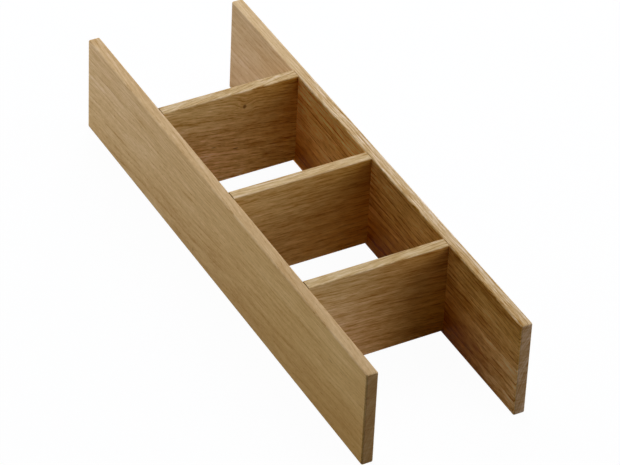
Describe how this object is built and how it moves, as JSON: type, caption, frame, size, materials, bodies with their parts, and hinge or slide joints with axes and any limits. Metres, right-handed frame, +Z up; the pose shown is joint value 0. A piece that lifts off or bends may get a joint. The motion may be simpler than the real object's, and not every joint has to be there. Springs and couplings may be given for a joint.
{
  "type": "drawer organizer",
  "caption": "Rigid oak frame for a drawer: long side boards on edge joined by short cross dividers, open bays at both ends and no bottom.",
  "frame": {"origin": "on the surface the organizer stands on, at the middle of its footprint", "axes": "+Y along the side boards, +Z up, +X across the organizer towards its right side board"},
  "size_m": [0.141, 0.47, 0.087],
  "materials": {
    "left_board_oak": "solid oak, sanded and oiled to a low satin",
    "right_board_oak": "solid oak, sanded and oiled to a low satin",
    "front_divider_oak": "solid oak, sanded and oiled to a low satin",
    "middle_divider_oak": "solid oak, sanded and oiled to a low satin",
    "back_divider_oak": "solid oak, sanded and oiled to a low satin",
    "dowel_beech": "raw fluted hardwood"
  },
  "bodies": {
    "root": {"left_side_board": "left_board_oak", "right_side_board": "right_board_oak", "front_divider": "front_divider_oak", "middle_divider": "middle_divider_oak", "back_divider": "back_divider_oak", "dowel_front_left_lower": "dowel_beech", "dowel_front_left_upper": "dowel_beech", "dowel_front_right_lower": "dowel_beech", "dowel_front_right_upper": "dowel_beech", "dowel_middle_left_lower": "dowel_beech", "dowel_middle_left_upper": "dowel_beech", "dowel_middle_right_lower": "dowel_beech", "dowel_middle_right_upper": "dowel_beech", "dowel_back_left_lower": "dowel_beech", "dowel_back_left_upper": "dowel_beech", "dowel_back_right_lower": "dowel_beech", "dowel_back_right_upper": "dowel_beech"}
  },
  "joints": []
}
